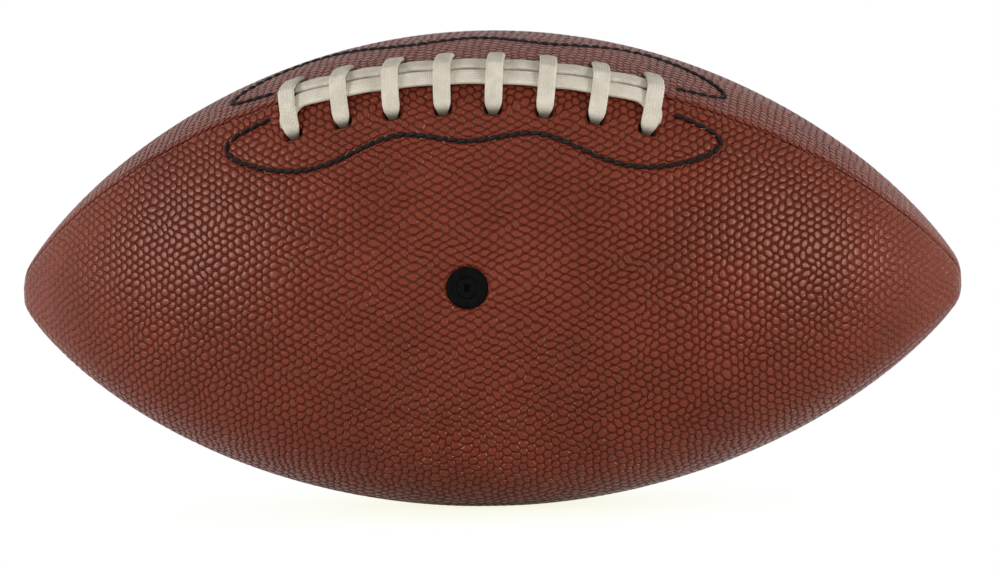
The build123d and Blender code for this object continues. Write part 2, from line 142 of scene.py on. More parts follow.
def edge_roll(corner, centre, radius, share, roll, side):
    """Leg, roll and facing of a panel's edge: a circle that touches the arc inside and the seam's line."""
    out = corner / abs(corner)
    inner = out * side
    limit = ROLL_LIMIT_SHARE * abs(corner) * share
    roll = np.minimum(roll, limit)
    gap = np.minimum(HALF_SEAM_GAP, limit)
    depth = np.minimum(LEG_DEPTH, 2 * limit)
    centre_out = (centre * np.conj(out)).real * share
    centre_in = (centre * np.conj(inner)).real * share
    reach = centre_out + np.sqrt((radius * share - roll) ** 2 - (gap + roll - centre_in) ** 2)
    middle = reach * out + (gap + roll) * inner
    facing = middle - centre * share
    facing = facing / np.abs(facing)
    turn = np.angle(facing / -inner)
    steps = np.linspace(0, 1, ROLL_COLUMNS)
    rolled = middle[:, None] - roll[:, None] * inner * np.exp(1j * turn[:, None] * steps)
    fall = depth[:, None] * np.linspace(1, 0, LEG_COLUMNS, endpoint=False)
    leg = (reach[:, None] - fall) * out + gap[:, None] * inner
    return np.concatenate([leg, rolled], axis=1), facing


def touching_circle(circle, touch, end):
    """Circle through an end, touching another inside: radius = |v|^2 / (2 n.v), v from touch to end."""
    inward = (circle[0] - touch) / abs(circle[0] - touch)
    reach = end - touch
    radius = abs(reach) ** 2 / (2 * (inward * np.conj(reach)).real)
    return touch + inward * radius, radius


TOP_ARC = circle_through(TOP_FRONT, TOP_CROWN, TOP_BACK)
FRONT_ARC = circle_through(FRONT_TURN, complex(-SIDE_CROWN), TOP_FRONT)
BACK_ARC = circle_through(TOP_BACK, complex(SIDE_CROWN), BACK_TURN)
BOTTOM_ARC = circle_through(BOTTOM_BACK, BOTTOM_CROWN, BOTTOM_FRONT)
UNDER_FRONT_ARC = touching_circle(FRONT_ARC, FRONT_TURN, BOTTOM_FRONT)
UNDER_BACK_ARC = touching_circle(BACK_ARC, BACK_TURN, BOTTOM_BACK)
PANELS = {
    "top": (TOP_FRONT, [TOP_ARC], [], TOP_BACK),
    "front": (BOTTOM_FRONT, [UNDER_FRONT_ARC, FRONT_ARC], [FRONT_TURN], TOP_FRONT),
    "bottom": (BOTTOM_BACK, [BOTTOM_ARC], [], BOTTOM_FRONT),
    "back": (TOP_BACK, [BACK_ARC, UNDER_BACK_ARC], [BACK_TURN], BOTTOM_BACK),
}
INNER_COLUMNS = 6
LEATHER_THICKNESS = 2.4


def arc_points(arcs, facings, share, columns, depth):
    """Points at equal lengths over touching arcs, each from one facing to the next, at a depth below."""
    turns = [np.angle(last / first) for first, last in zip(facings[:-1], facings[1:])]
    lengths = np.stack([np.abs(turn) * radius for turn, (_, radius) in zip(turns, arcs)])
    ends = np.cumsum(lengths, axis=0)
    places = ends[-1][:, None] * np.linspace(0, 1, columns + 2)[1:-1]
    points = np.zeros(places.shape, complex)
    begin = np.zeros(len(share))
    for (centre, radius), facing, turn, end in zip(arcs, facings, turns, ends):
        part = (places - begin[:, None]) / (end - begin)[:, None]
        spoke = facing[:, None] * np.exp(1j * turn[:, None] * part)
        here = centre * share[:, None] + (radius * share - depth)[:, None] * spoke
        points = np.where(part > 0, here, points)
        begin = end
    return points


def panel_section(name, start_roll, end_roll, share):
    """Outer and inner curves of a panel for every row, as complex points across the ball."""
    start, arcs, joints, end = PANELS[name]
    first_edge, first_facing = edge_roll(start, *arcs[0], share, start_roll, -1j)
    last_edge, last_facing = edge_roll(end, *arcs[-1], share, end_roll, 1j)
    spokes = [joint - arcs[0][0] for joint in joints]
    joint_facings = [np.full(len(share), spoke / abs(spoke)) for spoke in spokes]
    facings = [first_facing, *joint_facings, last_facing]
    arc = arc_points(arcs, facings, share, ARC_COLUMNS, np.zeros(len(share)))
    wall = np.minimum(LEATHER_THICKNESS, ROLL_LIMIT_SHARE * abs(start) * share)
    inner = arc_points(arcs, facings, share, INNER_COLUMNS, wall)
    return np.concatenate([first_edge, arc, last_edge[:, ::-1]], axis=1), inner


print("radii of the front panel", [round(radius, 1) for _, radius in PANELS["front"][1]], "mm")

# %% [markdown]
# ## The lobed stitch line
# Round the lacing a black thread holds the patches that keep the lace from tearing the leather.
# Its line is a smooth curve through a few measured points on each side of the seam.
# A cubic curve through points is one small set of equations, which numpy solves at once.

# %% Smooth curve through points
CURVE_STEPS = 40
LINE_POINTS = 800


def path_length(points):
    """Length along a path up to each of its points."""
    return np.concatenate([[0], np.cumsum(np.linalg.norm(np.diff(points, axis=0), axis=1))])


def smooth_curve(points, count):
    """Natural cubic curve through points, by chord length, read at count equal steps of its own length."""
    points = np.asarray(points, float)
    knots = path_length(points)
    width = np.diff(knots)[:, None]
    rise = np.diff(points, axis=0) / width
    system = np.eye(len(points))
    inner = np.arange(1, len(points) - 1)
    system[inner, inner - 1] = width[:-1, 0]
    system[inner, inner] = 2 * (width[:-1, 0] + width[1:, 0])
    system[inner, inner + 1] = width[1:, 0]
    right = np.zeros_like(points)
    right[1:-1] = 6 * np.diff(rise, axis=0)
    bend = np.linalg.solve(system, right)
    at = np.linspace(0, knots[-1], CURVE_STEPS * len(points))
    span = np.clip(np.searchsorted(knots, at) - 1, 0, len(width) - 1)
    after = (at - knots[span])[:, None]
    before = (knots[span + 1] - at)[:, None]
    step = width[span]
    curve = (bend[span] * before**3 + bend[span + 1] * after**3) / (6 * step)
    curve += (points[span] / step - bend[span] * step / 6) * before
    curve += (points[span + 1] / step - bend[span + 1] * step / 6) * after
    length = path_length(curve)
    places = np.linspace(0, length[-1], count)
    return np.stack([np.interp(places, length, column) for column in curve.T], axis=1)


OUTLINE = [(60.0, 5.0), (73.0, 8.0), (52.0, 22.0), (20.0, 17.8)]
OUTLINE_MIDDLE = 20.6
TOP_OUTLINE_SHARE = 1.5


def stitch_line(side, count):
    """Places along the seam and across it on the lobed line of one panel."""
    reach = TOP_OUTLINE_SHARE if side > 0 else 1
    right = [(x, reach * offset) for x, offset in OUTLINE]
    left = [(-x, offset) for x, offset in right]
    line = smooth_curve(left + [(0.0, reach * OUTLINE_MIDDLE)] + right[::-1], count)
    return line * (1, side)


print("stitch line", path_length(stitch_line(1, LINE_POINTS))[-1].round(1), "mm")

# %% [markdown]
# ## The surface round the lacing
# The lace and the stitches lie on the two panels beside the upper front seam.
# Along, across and out are the three directions there. A place is an x and an offset across the seam.
# The panel's arc gives the height of the leather, and small steps give its slope, hence its normal.

# %% Leather beside the laced seam
ALONG = np.array([1.0, 0.0, 0.0])
ACROSS = np.array([0.0, 1.0, 1.0]) / math.sqrt(2)
OUTWARD = np.array([0.0, -1.0, 1.0]) / math.sqrt(2)
CENTRE = np.array([0.0, 0.0, AXIS_HEIGHT])
RIDGE = abs(TOP_FRONT)
SLOPE_STEP = 0.05


def unit(vectors):
    """Vectors scaled to the length one."""
    return vectors / np.linalg.norm(vectors, axis=-1, keepdims=True)


def leather_height(x, offset):
    """Height of the arc over the ball's axis: centre out + root(radius^2 - (offset - centre across)^2)."""
    share = taper(x)
    height = np.zeros(np.broadcast(x, offset).shape)
    for (middle, radius), chosen in ((TOP_ARC, offset > 0), (FRONT_ARC, offset <= 0)):
        out = (middle.imag - middle.real) / math.sqrt(2) * share
        sideways = (middle.imag + middle.real) / math.sqrt(2) * share
        reach = np.sqrt(np.maximum((radius * share) ** 2 - (offset - sideways) ** 2, 0))
        height = np.where(chosen, out + reach, height)
    return height


def on_leather(x, offset, lift):
    """Place over the leather, its normal, and unit steps along and across it."""
    x, offset = np.broadcast_arrays(np.asarray(x, float), np.asarray(offset, float))
    height = leather_height(x, offset)
    side = np.where(offset > 0, SLOPE_STEP, -SLOPE_STEP)
    rise_along = (leather_height(x + SLOPE_STEP, offset) - height) / SLOPE_STEP
    rise_across = (leather_height(x, offset + side) - height) / side
    step_along = ALONG + rise_along[..., None] * OUTWARD
    step_across = ACROSS + rise_across[..., None] * OUTWARD
    normal = unit(np.cross(step_along, step_across))
    place = CENTRE + x[..., None] * ALONG + offset[..., None] * ACROSS + height[..., None] * OUTWARD
    return place + np.asarray(lift)[..., None] * normal, normal, unit(step_along), unit(step_across)


print("height of the seam at its middle", leather_height(np.array(0.0), np.array(0.0)).round(2), "mm")

# %% [markdown]
# ## Pebbled leather
# The cover is pressed with pebbles about three millimetres apart, so that a hand can grip it.
# The pebbles sit on a staggered lattice, whose places wander a little so that no two pebbles are alike.
# The same lattice moves the points here and, pixel by pixel, feeds the bump and the painted shade in the
# grooves further down.

# %% Pebble lattice
PEBBLE_PITCH = 2.75
PEBBLE_HEIGHT = 0.32
PEBBLE_SINK_SHARE = 0.6
PEBBLE_ROUND = 0.56
PEBBLE_FLANK = 0.42
CELL_HALF = np.array([math.sqrt(3) / 2, 0.5])
WANDER_WAVES = 30
WANDER_SIZE = 0.030
WANDER_SHORT, WANDER_LONG = 2.4, 7.0
TEST_POINTS, TEST_STEP = 4000, 0.37


def soft_step(value):
    """Smooth rise from 0 to 1: 3 v^2 - 2 v^3."""
    value = np.clip(value, 0, 1)
    return value * value * (3 - 2 * value)


def wandering_places(along, across, seed):
    """Places in pitches, each way moved by a sum of sines with random directions, lengths and phases."""
    draw = np.random.default_rng(seed)
    places = np.stack([along, across], axis=-1) / PEBBLE_PITCH
    moved = places.copy()
    for _ in range(WANDER_WAVES):
        angle, phase = draw.random(2) * 2 * math.pi
        wave = 2 * math.pi / draw.uniform(WANDER_SHORT, WANDER_LONG)
        turn = wave * (places @ np.array([math.cos(angle), math.sin(angle)])) + phase
        moved += WANDER_SIZE * np.sin(turn)[..., None] * draw.normal(size=2)
    return moved


def pebbles(places):
    """Dome height from 0 to 1: a soft step from the hexagon's border, nearest of two interleaved lattices."""
    first = (places + CELL_HALF) % (2 * CELL_HALF) - CELL_HALF
    second = places % (2 * CELL_HALF) - CELL_HALF
    first_reach, second_reach = np.linalg.norm(first, axis=-1), np.linalg.norm(second, axis=-1)
    reach = np.minimum(first_reach, second_reach)
    local = np.abs(np.where((first_reach < second_reach)[..., None], first, second))
    hexagon = np.maximum(local[..., 1], local @ CELL_HALF) * 2
    return soft_step((1 - (hexagon + reach / PEBBLE_ROUND) / 2) / PEBBLE_FLANK)


test_places = wandering_places(np.arange(TEST_POINTS) * TEST_STEP, np.zeros(TEST_POINTS), 1)
print("mean dome height", pebbles(test_places).mean().round(2))

# %% [markdown]
# The lace goes through slots at even steps along the seam. The seam falls towards the noses, so every cross
# stands square to the seam's own slope. A small class keeps these directions for one place.

# %% Places on the laced seam
CROSS_COUNT = 8
CROSS_PITCH = 15.4
CROSS_PLACES = (np.arange(CROSS_COUNT) - (CROSS_COUNT - 1) / 2) * CROSS_PITCH
HOLE_OFFSET = 11.5


class Seam:
    """Directions and heights at one place of the laced seam, square to the seam's own slope."""

    def __init__(self, x):
        slope = RIDGE * (taper(x + SLOPE_STEP) - taper(x - SLOPE_STEP)) / (2 * SLOPE_STEP)
        self.x = x
        self.origin = CENTRE + ALONG * x + OUTWARD * RIDGE * taper(x)
        self.along = (ALONG + OUTWARD * slope) / np.hypot(1, slope)
        self.out = np.cross(self.along, ACROSS)
        self.steepness = 1 / np.hypot(1, slope)

    def drop(self, offset):
        """How far the leather lies below the seam at an offset across it."""
        offset = np.asarray(offset, float)
        height = leather_height(np.full(offset.shape, self.x), offset)
        return (RIDGE * taper(self.x) - height) * self.steepness

    def points(self, offset, height):
        """Places at offsets across the seam and heights over the leather."""
        offset, height = np.asarray(offset, float), np.asarray(height, float)
        return self.origin + offset[:, None] * ACROSS + (height - self.drop(offset))[:, None] * self.out


seams = [Seam(place) for place in CROSS_PLACES]
print("drop of the leather at the slots", seams[3].drop([HOLE_OFFSET, -HOLE_OFFSET]).round(2), "mm")

# %% [markdown]
# The leather sinks where something is sewn or set into it: along the stitch line, at the slots of the lace
# and round the valve. Each is a depth that depends on the distance to the line, slot or disc.

# %% Dips in the leather
SLOT_HALF = (1.5, 0.5)
SLOT_SOFTNESS = 1.3
SLOT_DEPTH = 2.6
CHANNEL_DEPTH = 0.4
CHANNEL_WIDTH = 0.9
CHANNEL_REACH = 5.0
CHANNEL_POINTS = 500
CHANNEL_END = 80
VALVE_RADIUS = 6.1
VALVE_LIP = 1.0
VALVE_DEPTH = 1.7


def slot_dip(x, offset, side):
    """Depth round the slots of the lace: a soft step of the distance to each slot's rectangle."""
    depth = np.zeros(x.shape)
    past_across = np.maximum(np.abs(offset - HOLE_OFFSET) - SLOT_HALF[1], 0)
    for seam in seams:
        middle = seam.points([side * HOLE_OFFSET], [0.0])[0, 0]
        past = np.hypot(np.maximum(np.abs(x - middle) - SLOT_HALF[0], 0), past_across)
        depth = np.maximum(depth, SLOT_DEPTH * soft_step(1 - past / SLOT_SOFTNESS))
    return depth


def channel_dip(x, offset, side):
    """Depth along the stitch line: a bell curve of the distance to the nearest point of the line."""
    line = stitch_line(side, CHANNEL_POINTS) * (1, side)
    distance = np.full(x.shape, np.inf)
    near = (np.abs(x) < CHANNEL_END) & (offset > 0) & (offset < line[:, 1].max() + CHANNEL_REACH)
    gaps = np.hypot(x[near][:, None] - line[:, 0], offset[near][:, None] - line[:, 1])
    distance[near] = gaps.min(axis=1)
    return CHANNEL_DEPTH * np.exp(-((distance / CHANNEL_WIDTH) ** 2))


def valve_dip(x, height):
    """Depth round the valve: a soft step of the distance to its disc."""
    past = np.hypot(x, height - AXIS_HEIGHT) - VALVE_RADIUS
    return VALVE_DEPTH * soft_step((VALVE_LIP - past) / (2 * VALVE_LIP))


print("slots", 2 * CROSS_COUNT, "depth", SLOT_DEPTH, "mm")

# %% [markdown]
# ## Making the meshes
# A grid of points becomes a mesh when every four neighbours make a face.
# One helper builds the object, puts its place into the mesh, gives it its attributes and sets it on its body.

# %% Mesh helpers
def grid_faces(rows, columns, wrap=False):
    """Corner numbers of the faces of a grid whose points are numbered row by row."""
    numbers = np.arange(rows * columns).reshape(rows, columns)
    if wrap:
        numbers = np.concatenate([numbers, numbers[:, :1]], axis=1)
    corners = numbers[:-1, :-1], numbers[1:, :-1], numbers[1:, 1:], numbers[:-1, 1:]
    return np.stack(corners, axis=-1).reshape(-1, 4)


def add_object(name, data):
    """New object in the scene."""
    added = bpy.data.objects.new(name, data)
    bpy.context.scene.collection.objects.link(added)
    return added


def make_piece(name, points, faces, body, nodes, values):
    """Object with its mesh in metres, smooth faces and one value per point for each named attribute."""
    mesh = bpy.data.meshes.new(name)
    mesh.from_pydata((np.asarray(points).reshape(-1, 3) * MM).tolist(), [], faces)
    for title, column in values.items():
        attribute = mesh.attributes.new(title, "FLOAT", "POINT")
        attribute.data.foreach_set("value", np.asarray(column, np.float32).ravel())
    mesh.shade_smooth()
    mesh.update()
    piece = add_object(name, mesh)
    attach(piece, body)
    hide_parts(*nodes)
    triangles = sum(len(face) - 2 for face in faces)
    print(name, "points", len(mesh.vertices), "triangles", triangles, "valid", not mesh.validate())
    return piece


# %% [markdown]
# ## The four panels
# Each panel is an outer and an inner curve carried along the ball, joined at the seams and the noses.
# The pebbles and the dips move the outer points along the surface's normal.
# The bottom panel is pressed flat where the ball lies on the floor.

# %% Panels of the cover
PANEL_ROLLS = {"top": (1.3, 1.5), "front": (1.6, 1.3), "bottom": (1.6, 1.6), "back": (1.5, 1.6)}
REST_CLEARANCE = 0.02
WORN_START = 100.0
WORN_SHARE = 0.6
EDGE_PRESSED, EDGE_SHADED = (0.1, 1.6), (0.0, 1.6)
FADE_DEPTH, SUNK_SHADE_DEPTH = 0.5, 1.2
PEBBLE_SEEDS = {"top": 11, "front": 23, "bottom": 37, "back": 41}


def surface_normals(points):
    """Unit cross product of the grid's steps along the rows and along the columns."""
    normal = np.cross(np.gradient(points, axis=0), np.gradient(points, axis=1))
    return normal / np.maximum(np.linalg.norm(normal, axis=2, keepdims=True), 1e-12)


def edge_weights(start, end):
    """Value for each column: 0 on the legs, a soft step from start to end over the rolls, 1 on the arc."""
    edge = np.concatenate([np.zeros(LEG_COLUMNS), soft_step(np.linspace(start, end, ROLL_COLUMNS))])
    return np.concatenate([edge, np.ones(ARC_COLUMNS), edge[::-1]])


def pebble_weights():
    """Share of the pebbles at each point: less at the seams, and worn smooth towards the noses."""
    worn = soft_step((np.abs(row_x) - WORN_START) / (HALF_LENGTH - WORN_START))
    return edge_weights(*EDGE_PRESSED) * (1 - WORN_SHARE * worn)[:, None]


def lift(section):
    """Points in space of a section's complex points, row by row along the ball."""
    x = np.broadcast_to(row_x[:, None], section.shape)
    return np.stack([x, section.real, section.imag + AXIS_HEIGHT], axis=-1)


def panel_dips(name, points):
    """Depth of all dips in a panel: slots and stitch line beside the laced seam, and the valve's disc."""
    dip = np.zeros(points.shape[:2])
    x, relative = points[..., 0], points - CENTRE
    if name in ("top", "front"):
        side = 1 if name == "top" else -1
        offset = relative @ ACROSS * side
        laced = (relative @ OUTWARD > 0) & (offset > 0)
        dip = np.where(laced, np.maximum(slot_dip(x, offset, side), channel_dip(x, offset, side)), 0)
    if name == "front":
        dip = np.maximum(dip, valve_dip(x, points[..., 2]))
    return dip


def shell_faces(columns):
    """Faces of a panel: the outer grid, the inner grid, which turns the other way, and a cap at each nose."""
    first = ROW_COUNT * columns
    edge = np.arange(ROW_COUNT)[:, None] * columns
    inner = first + np.arange(ROW_COUNT * INNER_COLUMNS).reshape(ROW_COUNT, INNER_COLUMNS)
    lining = np.concatenate([edge, inner, edge + columns - 1], axis=1)
    corners = lining[:-1, :-1], lining[:-1, 1:], lining[1:, 1:], lining[1:, :-1]
    back = np.stack(corners, axis=-1).reshape(-1, 4)
    start = np.concatenate([np.arange(columns), inner[0, ::-1]])
    end = np.concatenate([np.arange(columns) + first - columns, inner[-1, ::-1]])[::-1]
    return np.concatenate([grid_faces(ROW_COUNT, columns), back]).tolist() + [start.tolist(), end.tolist()]


def leather_panel(name):
    """One panel: outer points moved by height * (dome - sink) - dip along the normal, and inner points."""
    outer, inner = panel_section(name, *PANEL_ROLLS[name], taper(row_x))
    points = lift(outer)
    normals = surface_normals(points)
    steps = np.cumsum(np.abs(np.diff(outer, axis=1)), axis=1)
    steps = np.concatenate([np.zeros((ROW_COUNT, 1)), steps], axis=1)
    across = steps - steps[:, [outer.shape[1] // 2]]
    along = np.broadcast_to(row_length[:, None], across.shape)
    places = wandering_places(along, across, PEBBLE_SEEDS[name])
    dip = panel_dips(name, points)
    weight = pebble_weights() * soft_step(1 - dip / FADE_DEPTH)
    rise = weight * PEBBLE_HEIGHT * (pebbles(places) - PEBBLE_SINK_SHARE) - dip
    points = points + normals * rise[..., None]
    points[..., 2] = np.maximum(points[..., 2], REST_CLEARANCE)
    sheets = {
        "pressed": weight,
        "seam_shade": np.broadcast_to(edge_weights(*EDGE_SHADED), dip.shape),
        "pebble_along": places[..., 0],
        "pebble_across": places[..., 1],
        # Painted shade: leather that sinks into the slots, along the stitch line and round the valve is
        # coloured towards near black.
        "sunk_shade": np.clip(dip / SUNK_SHADE_DEPTH, 0, 1),
    }
    values = {title: np.concatenate([sheet.ravel(), np.zeros(inner.size)]) for title, sheet in sheets.items()}
    everything = np.concatenate([points.reshape(-1, 3), lift(inner).reshape(-1, 3)])
    faces = shell_faces(outer.shape[1])
    node = f"{name}_panel"
    return make_piece(f"{name}_leather", everything, faces, "ball", [node], values)


leather_pieces = [leather_panel(name) for name in PANELS]

# %% [markdown]
# ## The lace
# One flat lace is threaded through slots on both sides of the seam. Two strands lie along the seam and eight
# crosses hold them down. The lace is a rounded ribbon: a flat oval carried along a path of frames.
# The path is the one the solid has, with the crosses draped over the strands as a soft lace would be.

# %% Sizes of the lace
LACE_WIDTH = 5.2
STRAND_SHARE = 0.93
LACE_THICKNESS = 1.75
STRAND_OFFSET = 9.55
SPINE_OFFSET = 2.36
SPINE_TURN = 5.0
WALL_DEPTH = 5.2
UNDER_BEND = 1.25
UNDER_STEPS = 6
UNDER_THICKNESS = 1.5
UNDER_GAP = 0.45
print("lace", LACE_WIDTH, "mm wide")

# %% [markdown]
# Every run of the lace is a set of frames: places, headings and the way the flat side faces.
# A cross comes up out of its slot, drapes over the two strands and goes down into the slot across the seam.
# A strand comes out of an end slot, turns along the seam, and swells a little between the crosses.

# %% Runs of the lace
CROSS_POINTS = [(11.5, -3.2), (11.5, -1.2), (11.1, 0.4), (9.4, 1.5), (6.2, 2.45), (2.6, 2.85)]
CROSS_STEPS = 60
STRAND_LIFT = 0.95
STRAND_SWELL = 0.35
STRAND_LEVEL = 0.5
TURN_STEPS = 10
RUN_STEPS = 90
STRAND_RISE = np.array([(0.0, -3.2), (0.0, -1.2), (-0.7, 0.5)]) + (STRAND_OFFSET, 0.0)
STRAND_LEG = np.linspace(1, 0.35, len(STRAND_RISE))


def cross_run(seam):
    """Frames of one cross, from its slot in the top panel to its slot in the front panel."""
    half = np.array(CROSS_POINTS)
    line = smooth_curve(np.concatenate([half, half[::-1] * (-1, 1)]), CROSS_STEPS)
    points = seam.points(*line.T)
    heading = unit(np.gradient(points, axis=0))
    return points, heading, np.cross(heading, seam.along)


def under_bend(seam, level, offset, side):
    """Frames of the quarter turn between a slot and a run inside the ball."""
    layers = (level - 0.5) * UNDER_THICKNESS + level * UNDER_GAP
    depth = WALL_DEPTH + layers + float(seam.drop(np.array(HOLE_OFFSET)))
    turn = np.linspace(0, math.pi / 2, UNDER_STEPS)[::-side]
    normal = np.cos(turn)[:, None] * ACROSS * side - np.sin(turn)[:, None] * seam.out
    middle = seam.origin + ACROSS * side * (offset - UNDER_BEND) - seam.out * (depth - UNDER_BEND)
    return middle + normal * UNDER_BEND, np.cross(seam.along, normal), normal


def strand_run(side):
    """Frames of one strand along the seam, with a rise out of the first slot and a fall into the last."""
    turn = np.linspace(0, math.pi / 2, TURN_STEPS)
    first, last = CROSS_PLACES[0], CROSS_PLACES[-1]
    start_x = first + SPINE_TURN * (1 - np.cos(turn))
    start_offset = SPINE_OFFSET + SPINE_TURN * (1 - np.sin(turn))
    run_x = np.linspace(first + SPINE_TURN, last - SPINE_TURN, RUN_STEPS)[1:-1]
    middle_x = np.concatenate([start_x, run_x, first + last - start_x[::-1]])
    middle_offset = np.concatenate([start_offset, np.full(len(run_x), SPINE_OFFSET), start_offset[::-1]])
    rise_offset, rise_height = STRAND_RISE.T
    x = np.concatenate([np.full(len(rise_offset), first), middle_x, np.full(len(rise_offset), last)])
    offset = np.concatenate([rise_offset, middle_offset, rise_offset[::-1]])
    swell = STRAND_SWELL * np.sin(math.pi * (middle_x - first) / CROSS_PITCH) ** 2
    height = np.concatenate([rise_height, STRAND_LIFT + swell, rise_height[::-1]])
    place, normal, _, _ = on_leather(x, side * offset, height)
    heading = unit(np.gradient(place, axis=0))
    leg = np.concatenate([STRAND_LEG, np.zeros(len(middle_x)), STRAND_LEG[::-1]])[:, None]
    normal = (normal + STRAND_LEVEL * OUTWARD) * (1 - leg) + ACROSS * side * leg
    normal = normal - heading * (normal * heading).sum(axis=1, keepdims=True)
    return place, heading, unit(normal)


runs = [strand_run(-1)]
runs += [under_bend(seams[-1], 1, STRAND_OFFSET, -1), under_bend(seams[-1], 1, HOLE_OFFSET, 1)]
for index in reversed(range(CROSS_COUNT)):
    runs.append(cross_run(seams[index]))
    if index > 0:
        runs.append(under_bend(seams[index], 2, HOLE_OFFSET, -1))
        runs.append(under_bend(seams[index - 1], 2, HOLE_OFFSET, 1))
runs += [under_bend(seams[0], 1, HOLE_OFFSET, -1), under_bend(seams[0], 1, STRAND_OFFSET, 1)]
runs.append(strand_run(1))
lace_place, lace_heading, lace_facing = (np.concatenate(part) for part in zip(*runs))
lace_length = path_length(lace_place)
print("lace", round(lace_length[-1]), "mm in", len(lace_place), "frames")

# %% [markdown]
# The ribbon's outline is a flat oval with full shoulders, a rounded power curve.
# Where the lace goes into a slot it is pinched narrow and thick, because the slot is smaller than the lace.

# %% Ribbon
RING_POINTS = 28
OVAL_POWER = 0.45
PINCH_START = 1.6
PINCH_LENGTH = 3.0
PINCH_SHARE = 0.42
PINCH_SWELL = 0.25
SLOT_ZONE = 7.5
STRAND_HEADING = 0.5
GRIME_SHADE_START, GRIME_SHADE_LENGTH = 1.25, 1.9


def lace_ribbon():
    """Ring points: place + wide * |cos|^p + thick * |sin|^2p, with the sides' signs, for every frame."""
    turn = np.linspace(0, 2 * math.pi, RING_POINTS, endpoint=False)
    wide = np.sign(np.cos(turn)) * np.abs(np.cos(turn)) ** OVAL_POWER
    high = np.sign(np.sin(turn)) * np.abs(np.sin(turn)) ** (2 * OVAL_POWER)
    sideways = np.cross(lace_facing, lace_heading)
    relative = lace_place - CENTRE
    over = relative @ OUTWARD - leather_height(lace_place[:, 0], relative @ ACROSS)
    pinch = 1 - PINCH_SHARE * soft_step((PINCH_START - over) / PINCH_LENGTH)
    width = np.where(np.abs(lace_heading @ ALONG) > STRAND_HEADING, STRAND_SHARE, 1)
    pinch = np.where(np.abs(relative @ ACROSS) > SLOT_ZONE, pinch, width)
    half_width = LACE_WIDTH / 2 * pinch
    half_thickness = LACE_THICKNESS / 2 * (1 + PINCH_SWELL * (1 - pinch))
    points = lace_place[:, None] + half_width[:, None, None] * wide[:, None] * sideways[:, None]
    points = points + half_thickness[:, None, None] * high[:, None] * lace_facing[:, None]
    faces = grid_faces(len(lace_place), RING_POINTS, wrap=True)[:, ::-1]
    ring = np.arange(RING_POINTS)
    caps = [ring.tolist(), (len(lace_place) * RING_POINTS - 1 - ring).tolist()]
    values = {
        "lace_along": np.repeat(lace_length, RING_POINTS),
        "lace_across": np.broadcast_to(wide * LACE_WIDTH / 2, points.shape[:2]),
        # Grime and painted shade: the lace darkens as it sinks below the leather into its slots.
        "lace_grime_and_shade": np.repeat(soft_step((GRIME_SHADE_START - over) / GRIME_SHADE_LENGTH), RING_POINTS),
    }
    return make_piece("lace_ribbon", points, faces.tolist() + caps, "ball", ["lace"], values)


lace_piece = lace_ribbon()

# %% [markdown]
# ## The black stitches
# Every stitch is a short piece of waxed thread that bows over the leather and dives into it at both ends.
# One thread shape is computed once and set at all the places of the line together, as one big array.

# %% Stitch rows
STITCH_PITCH = 3.1
STITCH_LENGTH = 3.9
STITCH_RADIUS = 0.6
STITCH_BOW = 0.5
STITCH_SLANT = math.radians(13)
STITCH_RINGS = 7
STITCH_SIDES = 8
STITCH_END = 0.98


def stitch_row(name, side, node):
    """Stitches: a bent spindle, radius * root(1 - t^4), bowed up by bow * (1 - t^2) along the stitch line."""
    count = int(path_length(stitch_line(side, LINE_POINTS))[-1] / STITCH_PITCH)
    line = stitch_line(side, 2 * count + 1)
    spot, ends = line[1::2], line[2::2] - line[:-1:2]
    place, normal, step_along, step_across = on_leather(*spot.T, np.full(count, -CHANNEL_DEPTH))
    heading = unit(ends[:, :1] * step_along + ends[:, 1:] * step_across)
    heading = heading * math.cos(STITCH_SLANT) + np.cross(normal, heading) * math.sin(STITCH_SLANT)
    sideways = np.cross(normal, heading)
    t = np.linspace(-STITCH_END, STITCH_END, STITCH_RINGS)[:, None]
    turn = np.linspace(0, 2 * math.pi, STITCH_SIDES, endpoint=False)[None, :]
    radius = STITCH_RADIUS * np.sqrt(1 - t**4)
    up = radius * np.sin(turn) + STITCH_BOW * (1 - t**2)
    local = np.stack([t * STITCH_LENGTH / 2 + 0 * turn, radius * np.cos(turn), up], axis=-1).reshape(1, -1, 3)
    axes = np.stack([heading, sideways, normal], axis=1)
    points = place[:, None] + local @ axes
    ring = STITCH_RINGS * STITCH_SIDES
    faces = grid_faces(STITCH_RINGS, STITCH_SIDES, wrap=True)[:, ::-1]
    start = np.arange(count)[:, None, None] * ring
    quads = (faces[None] + start).reshape(-1, 4).tolist()
    sides = np.arange(STITCH_SIDES)
    caps = np.concatenate([start[:, 0] + sides, start[:, 0] + ring - 1 - sides]).tolist()
    along = np.broadcast_to(local[..., 0] + np.arange(count)[:, None] * STITCH_PITCH, points.shape[:2])
    return make_piece(name, points, quads + caps, "ball", [node], {"thread_along": along})


stitch_pieces = [
    stitch_row("top_stitches", 1, "top_patch_stitching"),
    stitch_row("front_stitches", -1, "front_patch_stitching"),
]

# %% [markdown]
# ## The valve
# A black rubber valve sits in the middle of the front panel. Its body holds a core, which slides out,
# and the core has the narrow way for the needle. Both are turned shapes: a profile carried round an axis.

# %% Turned rubber pieces
TURN_COUNT = 72
VALVE_FACE = 77.7
BORE_RADIUS = 1.05
BORE_DEPTH = 13.0


